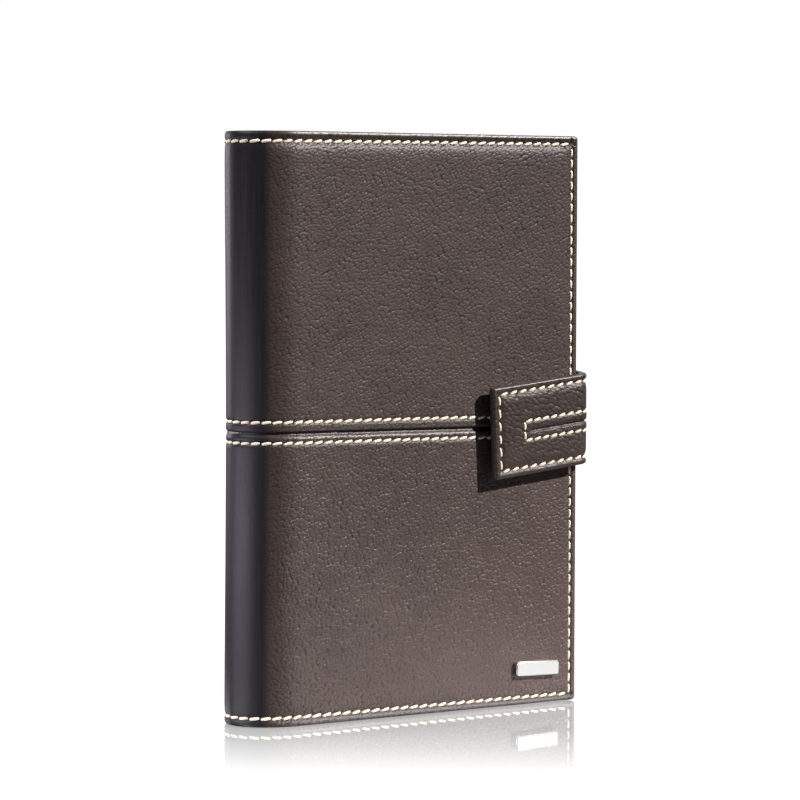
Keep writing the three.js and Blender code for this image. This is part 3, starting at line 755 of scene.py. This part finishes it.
def case_stitches(side):
    first = stitch_phase if side == "front" else stitch_pitch - stitch_phase
    centres = np.arange(first, case_reach - fore_inset - 1.6, stitch_pitch)
    lean = stitch_lean if side == "front" else -stitch_lean
    rows = []
    for c in centres:
        slant = lean * (spine_lean + (1 - spine_lean) * smooth_step(c, 12, 26))
        for z in (row_inset, book_height - row_inset):
            rows += level_row(z, [c], head_floor * valley_share(c, z), slant)
        for way in (-1, 1):
            rows += level_row(seam_at(c) + way * seam_row, [c], seam_floor, slant)
    ups = np.arange(row_inset + 2.0, book_height - row_inset - 1.5, stitch_pitch * 0.975)
    ups = ups[np.abs(ups - seam_height) > 1.2]
    rows += upright_row(case_reach - fore_inset, ups, head_floor * 0.4, 0.12)
    return rows


for side, sheet in case_sheets.items():
    thread_piece = sew(f"{side}_case_stitches", sheet, case_stitches(side))
    across_hinge(thread_piece, side)

# %% [markdown]
# ## The clasp strap
# One band of leather is sewn to the back cover, bends round the fore edge and ends in a flap that
# a magnet holds on the front. It is made as two sheets of the same kind, which meet on the middle
# of the fore edge: each bends at one corner of the book, where its hinge is. The flap hangs a
# little lower towards its free end. An outer row of stitches follows its edge, and a second row
# makes a narrow U about a pressed line.

# %% Sizes of the strap
flap_low, flap_high = in_millimetres(*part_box("flap_leather"))
_, bridge_high = in_millimetres(*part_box("strap_bridge"))
anchor_low, anchor_high = in_millimetres(*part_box("strap_anchor"))
strap_top = flap_high[2]
strap_low = strap_top - strap_wide
strap_mid = (strap_low + strap_top) / 2
strap_thick = 3.0
bend_outer = 5.4
bend_x = bridge_high[0] - bend_outer
flap_y, anchor_y = flap_low[1], anchor_high[1]
middle_y = (flap_y + anchor_y) / 2
bend_run = bend_outer * math.pi / 2
flap_length, anchor_length = bend_x - flap_low[0], bend_x - anchor_low[0]
strap_slope = math.tan(math.radians(6.3))
flap_lean = 1.5
print(f"strap {strap_wide:.1f} mm wide, flap {flap_length:.1f}, anchor {anchor_length:.1f}")


# %% Path of the strap
def strap_side(outer_y):
    """Which way this face lies from the middle, and how far the strap runs before it bends."""
    return 1 if outer_y > middle_y else -1, abs(outer_y - middle_y) - bend_outer


def strap_path(outer_y):
    """From the middle of the fore edge, round the bend to the face at outer_y."""
    way, straight = strap_side(outer_y)

    def path(s):
        s = np.asarray(s, float)
        turn = np.clip((s - straight) / bend_outer, 0, np.pi / 2)
        before = np.minimum(s, straight)
        after = np.maximum(s - straight - bend_run, 0)
        x = bend_x + bend_outer * np.cos(turn) - after
        y = middle_y + way * (before + bend_outer * np.sin(turn))
        return x, y, np.cos(turn), way * np.sin(turn)

    return path, straight + bend_run


def strap_run(s, outer_y):
    """Distance from the middle of the fore edge, along the middle layer of the strap."""
    _, straight = strap_side(outer_y)
    bent = np.clip(s - straight, 0, bend_run) * (bend_outer - strap_thick / 2) / bend_outer
    return np.minimum(s, straight) + bent + np.maximum(s - straight - bend_run, 0)


def hang_flap(points, s):
    """The strap slopes down along the flap, whose free end leans back a little at its foot."""
    x, y, z = points[..., 0], points[..., 1], points[..., 2]
    away = np.maximum(bend_x - x, 0) / flap_length
    foot = (strap_mid - z) / strap_wide * flap_lean * away
    return np.stack([x + foot, y, z + (half_run - strap_run(s, flap_y)) * strap_slope], -1)


def hang_anchor(points, s):
    x, y, z = points[..., 0], points[..., 1], points[..., 2]
    return np.stack([x, y, z + (half_run + strap_run(s, anchor_y)) * strap_slope], -1)


flap_path, flap_turn = strap_path(flap_y)
anchor_path, anchor_turn = strap_path(anchor_y)
flap_reach = flap_turn + flap_length
anchor_reach = anchor_turn + anchor_length
half_run = strap_run(flap_turn, flap_y)


# %% Relief and rim of the strap
strap_inset = 2.8
u_row_half, u_row_mid, u_end = 3.5, strap_mid - 0.67, 13.7
u_floor = 0.3
groove_end, groove_depth = 16.7, 0.9


def flap_relief(s, z, ring):
    from_end = flap_reach - s
    face = ring < strap_rim_outer
    across = z - u_row_mid
    within = smooth_step(-np.abs(across), -u_row_half - 1, -u_row_half + 1)
    inside_u = within * smooth_step(from_end, u_end - 1, u_end + 1)
    u_sides = bell(np.abs(across) - u_row_half, 0.6) * smooth_step(from_end, u_end - 0.8, u_end)
    u_close = bell(from_end - u_end, 0.6) * (np.abs(across) < u_row_half + 0.6)
    groove = bell(across + 0.2, 0.4) * smooth_step(from_end, groove_end - 1, groove_end + 1)
    swell = -0.12 * inside_u * (1 - bell(across, 1.2))
    return np.where(face, u_floor * np.maximum(u_sides, u_close) + groove_depth * groove + swell, 0)


def anchor_relief(s, z, ring):
    return np.zeros_like(s)


strap_rim = [(inset, inset, depth) for inset, depth in (
    (9.0, 0.0), (6.5, 0.0), (5.2, 0.06), (4.3, 0.22), (3.7, 0.42), (3.3, 0.6), (3.0, 0.7),
    (2.75, 0.72), (2.5, 0.62), (2.2, 0.4), (1.85, 0.16), (1.4, 0.02), (0.9, 0.0), (0.5, 0.12),
    (0.2, 0.4), (0.0, 0.9), (0.0, 1.5), (0.0, 2.2), (0.08, 2.6), (0.3, 2.88), (0.7, 3.0),
    (3.0, 3.0), (9.0, 3.0), (16.8, 3.0))]
strap_rim_outer = 16

# %% The two parts of the strap
strap_material = finish("strap_leather", strap_leather, depth=0.18)
strap_corner, strap_margin = 0.7, 9.4
strap_edges = (strap_low, strap_top, strap_rim, strap_corner)
flap_sheet = Sheet(flap_path, flap_reach, *strap_edges, flap_relief, hang_flap)
anchor_sheet = Sheet(anchor_path, anchor_reach, *strap_edges, anchor_relief, hang_anchor)


def strap_stations(turn, reach, count):
    return spread((0, turn - bend_run, 6), (turn - bend_run, turn, 16), (turn, reach - 9, count))


flap_along = strap_stations(flap_turn, flap_reach, 60)
anchor_along = strap_stations(anchor_turn, anchor_reach, 16)
strap_up = np.linspace(strap_low + strap_margin, strap_top - strap_margin, 45)
print("strap stations:", len(flap_along), len(anchor_along), len(strap_up))
bend_waits = 0.35


def bend_points(outer_y):
    """Where the strap starts and ends to give; the part against the cover's edge stays still."""
    way, _ = strap_side(outer_y)
    centre = outer_y - way * bend_outer
    neutral = bend_outer - strap_thick / 2
    start = np.array([bend_x + neutral, centre, 0])
    end = np.array([bend_x, centre + way * neutral, 0])
    return place(start + (end - start) * bend_waits), place(end)


def across_bend(piece, outer_y):
    """Works out where the bend starts and ends, and bakes the piece's place into its points."""
    start, end = bend_points(outer_y)
    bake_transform(piece)


flap = flap_sheet.piece("clasp_flap", flap_along, strap_up, True, strap_material)
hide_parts("flap_leather", "flap_lining", "flap_core", "strap_front_bend", "strap_bridge")
across_bend(flap, flap_y)

anchor = anchor_sheet.piece("clasp_anchor", anchor_along, strap_up, False, strap_material)
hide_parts("strap_anchor", "strap_back_bend", "strap_bridge")
across_bend(anchor, anchor_y)

# %% Stitches of the strap
strap_floor, strap_stitch, end_gap = 0.7, 3.3, 2.3
u_pitch, u_gap = 3.75, 1.9


def strap_rows(reach, lean):
    """Outer row: along both edges from the bend, and up the free end."""
    rows = []
    far, low, top = reach - strap_inset, strap_low + strap_inset, strap_top - strap_inset
    centres = np.arange(far - end_gap, 0, -stitch_pitch)
    for z in (low, top):
        rows += level_row(z, centres, strap_floor, lean, strap_stitch)
    ups = np.linspace(low + end_gap, top - end_gap, 6)
    return rows + upright_row(far, ups, strap_floor, 0.1, 3.6)


u_stitches = []
u_centres = np.arange(flap_reach - u_end - u_gap, 0, -u_pitch)
for z in (u_row_mid - u_row_half, u_row_mid + u_row_half):
    u_stitches += level_row(z, u_centres, u_floor, -stitch_lean * 0.9, strap_stitch)
u_closing = [u_row_mid - u_row_half / 2, u_row_mid + u_row_half / 2]
u_stitches += upright_row(flap_reach - u_end, u_closing, u_floor, 0.1, 3.1)
flap_thread = sew("flap_stitches", flap_sheet, strap_rows(flap_reach, -stitch_lean) + u_stitches)
across_bend(flap_thread, flap_y)
anchor_thread = sew("anchor_stitches", anchor_sheet, strap_rows(anchor_reach, stitch_lean))
across_bend(anchor_thread, anchor_y)

# %% [markdown]
# ## The pages
# Folded sheets are sewn into six sections. The two in the middle are attached to the book block,
# and two on either side belong with their cover but are only baked where they stand. A section is
# one piece here, its leaves rounded towards the fold. The flyleaves are made the same way.

# %% Sections and flyleaves
paper_material = finish("page_paper", page_paper, depth=0.03)
gutter_start, gutter_end = 15.5, 20.5


def paper_piece(name, nodes, body):
    """A block of leaves over the boxes of these nodes, rounded towards its fold."""
    boxes = np.array([in_millimetres(*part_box(node)) for node in nodes])
    (x0, y0, z0), (x1, y1, z1) = boxes[:, 0].min(0), boxes[:, 1].max(0)
    half, middle, past_gutter = (y1 - y0) / 2, (y0 + y1) / 2, gutter_end + 2
    fold = x0 + half * (1 - np.cos(np.linspace(0, np.pi / 2, 7)))
    run = np.concatenate([fold, np.linspace(x0 + half, past_gutter, 14)[1:],
                          np.linspace(past_gutter, x1, 9)[1:]])
    swell = np.sqrt(np.clip(1 - ((x0 + half - run) / half).clip(0, 1) ** 2, 0, 1))
    near = np.stack([run, middle - half * swell], -1)
    far = np.stack([run, middle + half * swell], -1)[::-1]
    outline = np.concatenate([near, far[:-1]])
    count = len(outline)
    points = np.concatenate([np.column_stack([outline, np.full(count, z)]) for z in (z0, z1)])
    faces = [(k, (k + 1) % count, (k + 1) % count + count, k + count) for k in range(count)]
    strips = len(run)
    for level in (0, count):
        for k in range(1, strips - 1):
            a, b = k, k + 1
            c, d = (2 * strips - 1 - b) % count, (2 * strips - 1 - a) % count
            quad = (a, b, c, d) if level else (d, c, b, a)
            faces.append(tuple(v + level for v in quad))
        tip = (0, 1, count - 1)
        faces.append(tuple(v + level for v in (tip if level else tip[::-1])))
    mapped = points[:, :2] + np.outer(points[:, 2], [1.0, 0.0])
    block = make_mesh(name, place(points), faces, mapped, paper_material, smooth=False)
    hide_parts(*nodes)
    if body == "book_block":
        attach(block, body)
    else:
        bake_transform(block)


turning = {1: "front_leaves", 2: "front_leaves", 5: "back_leaves", 6: "back_leaves"}
for number, body in turning.items():
    paper_piece(f"leaves_{number}", [f"section_{number}", f"section_{number}_fold"], body)
for number in (3, 4):
    paper_piece(f"leaves_{number}", [f"section_{number}"], "book_block")
for side in ("front", "back"):
    paper_piece(f"{side}_endpaper", [f"{side}_flyleaf", f"{side}_flyleaf_gutter"], f"{side}_flyleaf")
print("pages made")

# %% [markdown]
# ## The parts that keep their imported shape
# Boards, linings, foam, bands and magnets already have their right shape, so they only get a
# finish.

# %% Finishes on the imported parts
kept = {
    finish("lining_paper", lining_paper, depth=0.04): ("front_lining", "back_lining"),
    finish("board_pulp", board_pulp, depth=0.05): ("front_board", "back_board", "spine_board"),
    finish("padding_foam", padding_foam, depth=0.05): (
        "front_padding_upper", "front_padding_lower", "back_padding_upper", "back_padding_lower"),
    finish("woven_cloth", woven_cloth, depth=0.15): ("spine_cloth", "head_band", "tail_band"),
    finish("nickel", nickel, depth=0.01, Metallic=1.0): ("flap_magnet", "catch_magnet"),
}
for material, names in kept.items():
    for name in names:
        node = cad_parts[name]
        node.data.materials.clear()
        node.data.materials.append(material)
print("finished", sum(len(names) for names in kept.values()), "packed parts")

# %% [markdown]
# ## The corner plate
# It is stamped from sheet metal with its edge turned down, so it stands a little proud of the
# leather and throws a hard shadow. Rings go up the turned edge and over its round, and one flat
# face closes the last. It sits a hair askew, as a plate does that two prongs hold.

# %% Corner plate
plate_low, plate_high = in_millimetres(*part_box("corner_plate"))
plate_size = np.array([19.3, 5.5])
plate_corner, plate_turned_down, plate_tilt = 0.9, 0.6, math.radians(1.9)
plate_shift = np.array([-0.4, 0.0, 0.7])
arc_steps = 7
around = 4 * arc_steps
plate_rings = [(0.0, 0.0), (0.0, 0.8), (0.1, 0.94), (0.3, 1.0), (0.5, 1.0)]
plate_proud = plate_high[1] - plate_low[1] + plate_turned_down
quarters = np.arange(4) * math.pi / 2
angles = np.concatenate([np.linspace(a, a + math.pi / 2, arc_steps) for a in quarters])
corners = np.repeat([[1, 1], [-1, 1], [-1, -1], [1, -1]], arc_steps, 0)
corners = corners * (plate_size / 2 - plate_corner)
points = []
for inset, out in plate_rings:
    rounded = np.stack([np.cos(angles), np.sin(angles)], -1) * (plate_corner - inset) + corners
    across = rounded[:, 0] * math.cos(plate_tilt) + rounded[:, 1] * math.sin(plate_tilt)
    rise = rounded[:, 1] * math.cos(plate_tilt) - rounded[:, 0] * math.sin(plate_tilt)
    points.append(np.stack([across, np.full(around, -out * plate_proud), rise], -1))
points = np.array(points)
middle = (plate_low + plate_high) / 2
middle[1] = plate_high[1]
flat = np.concatenate([points, points[:, :1]], 1).reshape(-1, 3)
faces = [tuple(f) for f in grid_faces(len(plate_rings), around + 1, True)]
last = (len(plate_rings) - 1) * (around + 1)
faces.append(tuple(range(last, last + around)))
plate_material = finish("polished_plate", polished_plate, depth=0.0008, Metallic=1.0)
plate = make_mesh("pressed_plate", place(flat + middle + plate_shift), faces, flat[:, [0, 2]],
                  plate_material)
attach(plate, "front_cover")
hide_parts("corner_plate")
print("plate stands proud by", round(plate_proud, 2), "mm")

# %% [markdown]
# ## The floor and the room
# The book stands on a glossy white table that goes on into a white room. The table mirrors the
# foot of the book, and the mirror image fades towards the viewer and past the book's two ends. In
# what the leather reflects the table is dark, apart from a white card that lies before the corner
# plate. The room is white to the lens. In reflections a dark screen stands to the left of the lens
# and the hall to its right is dark, as a photographer would have it: they give spine and cover
# their deep tone. One bright panel in the hall lights up the plate.

# %% Floor
floor_half, floor_gap = 15, 0.0002
floor_corners = [(x * floor_half, y * floor_half, 0) for x, y in ((-1, -1), (1, -1), (1, 1), (-1, 1))]
floor_mesh = bpy.data.meshes.new("floor")
floor_mesh.from_pydata(floor_corners, [], [(0, 1, 2, 3)])
floor = bpy.data.objects.new("floor", floor_mesh)
floor.location.z = -floor_gap
bpy.context.scene.collection.objects.link(floor)

# %% Mirror zone of the table
def bare_tree(holder):
    """An empty node tree on a material or a world."""
    holder.use_nodes = True
    holder.node_tree.nodes.clear()
    return Wire(holder.node_tree)


floor_material = bpy.data.materials.new("white_table")
wire = bare_tree(floor_material)
where = wire.node("ShaderNodeNewGeometry")
corner = place([spine_depth, -half_thick, 0])
offset = where.vector("SUBTRACT", tuple(corner))
distance = offset.vector("DOT_PRODUCT", (-math.sin(yaw), -math.cos(yaw), 0.0), out=1)
sideways = offset.vector("DOT_PRODUCT", (math.cos(yaw), -math.sin(yaw), 0.0), out=1)
mirror_share = 0.62
mirror = (1 - distance.step(-0.02, 0.15)) * distance.step(-0.24, -0.14) * mirror_share
mirror = mirror * (1 - sideways.step(0.112, 0.15)) * sideways.step(-0.12, -0.05)

# %% White of the table
table_white, table_shade = 0.98, 0.93
rays = wire.node("ShaderNodeLightPath")
glossy, clear = rays.other("Is Glossy Ray"), rays.other("Is Transmission Ray")
seen = rays.most(glossy).most(clear)
bounce = rays.mix(colour(0.02, 0.02, 0.02), colour(0.12, 0.12, 0.12))
matte = wire.node("ShaderNodeBsdfDiffuse", {}, {"Color": bounce})
card = place([172.0, -half_thick - 72.0, 0])
from_card = where.vector("SUBTRACT", tuple(card)).vector("LENGTH", out=1)
shade = glossy * from_card.step(0.05, 0.12) * table_shade
white = wire.node("ShaderNodeEmission", {},
                  {"Color": colour(1, 1, 1), "Strength": seen * (table_white - shade)})
veil = wire.node("ShaderNodeAddShader", {}, {0: matte, 1: white})
gloss = wire.node("ShaderNodeBsdfGlossy", {}, {"Color": colour(0.97, 0.97, 0.97), "Roughness": 0.03})
table = wire.node("ShaderNodeMixShader", {}, {0: mirror, 1: veil, 2: gloss})
wire.node("ShaderNodeOutputMaterial", {}, {"Surface": table})
floor_mesh.materials.append(floor_material)

# %% Room
world = bpy.data.worlds.new("studio")
bpy.context.scene.world = world
wire = bare_tree(world)
look = wire.node("ShaderNodeTexCoord", {}, {}, 0)


def toward_side(azimuth, rise=0.0):
    """How far a ray points this way, in degrees to the right of straight out of the cover."""
    turn = math.radians(azimuth)
    way = Vector((math.sin(turn), -math.cos(turn), rise)).normalized()
    return look.vector("DOT_PRODUCT", tuple(way), out=1)


height = look.node("ShaderNodeSeparateXYZ", {}, {0: look}).other(2)
screen = toward_side(-88).step(-0.1, 0.3)
hall = toward_side(20).step(0.0, 0.5) * 0.97
panel = toward_side(34, 0.17).step(0.985, 0.992)
dark = screen.most(hall) * (1 - height.step(0.6, 0.9)) * (1 - panel)
rays = wire.node("ShaderNodeLightPath")
glossy, clear = rays.other("Is Glossy Ray"), rays.other("Is Transmission Ray")
room = (glossy * dark).mix(colour(1, 1, 1), colour(0.01, 0.01, 0.012))
bright = wire.node("ShaderNodeBackground", {}, {"Color": room, "Strength": 1.0})
ambient = wire.node("ShaderNodeBackground", {},
                    {"Color": colour(0.95, 0.97, 1.0), "Strength": 0.003})
both = wire.node("ShaderNodeMixShader", {}, {0: rays.most(glossy).most(clear), 1: ambient, 2: bright})
wire.node("ShaderNodeOutputWorld", {}, {"Surface": both})
bpy.context.scene.view_settings.view_transform = "Standard"
print("room and table have", len(world.node_tree.nodes) + len(floor_material.node_tree.nodes), "nodes")

# %% [markdown]
# ## The lamps
# One hard lamp stands high to the right: the flap throws a sharp shadow down and to the left. A
# small cool lamp low on the left draws the round of the spine, brighter towards the foot. A second
# soft one stands behind the book and catches the spine's outermost line. A distant lamp high on the
# left skims over the head and the shoulder of the spine.

# %% Lamps


def lamp(name, kind, energy, tint, location, target, **settings):
    data = bpy.data.lights.new(name, kind)
    data.energy = energy
    data.color = tint
    for key, value in settings.items():
        setattr(data, key, value)
    made = bpy.data.objects.new(name, data)
    made.location = location
    made.rotation_euler = (Vector(target) - made.location).to_track_quat("-Z", "Y").to_euler()
    bpy.context.scene.collection.objects.link(made)


book_middle = np.array([0.0, 0.0, 0.1])
key_way, left_way = np.array([0.94, -1.0, 1.0]), np.array([-1.0, 0.1, 1.0])
lamp("key", "SUN", 6.1, (1.0, 0.96, 0.93), book_middle + key_way, book_middle,
     angle=math.radians(0.8))
lamp("spine_light", "AREA", 0.50, (0.92, 0.85, 1.0), (-0.30, 0.035, 0.05), (-0.06, 0.0, 0.07),
     shape="RECTANGLE", size=0.25, size_y=0.08)
lamp("edge_light", "AREA", 1.5, (0.92, 0.88, 0.95), (-0.30, 0.75, 0.22), (-0.06, 0.0, 0.13),
     shape="RECTANGLE", size=0.2, size_y=0.3)
lamp("left_light", "SUN", 2.2, (1.0, 0.98, 0.95), book_middle + left_way, book_middle,
     angle=math.radians(8))
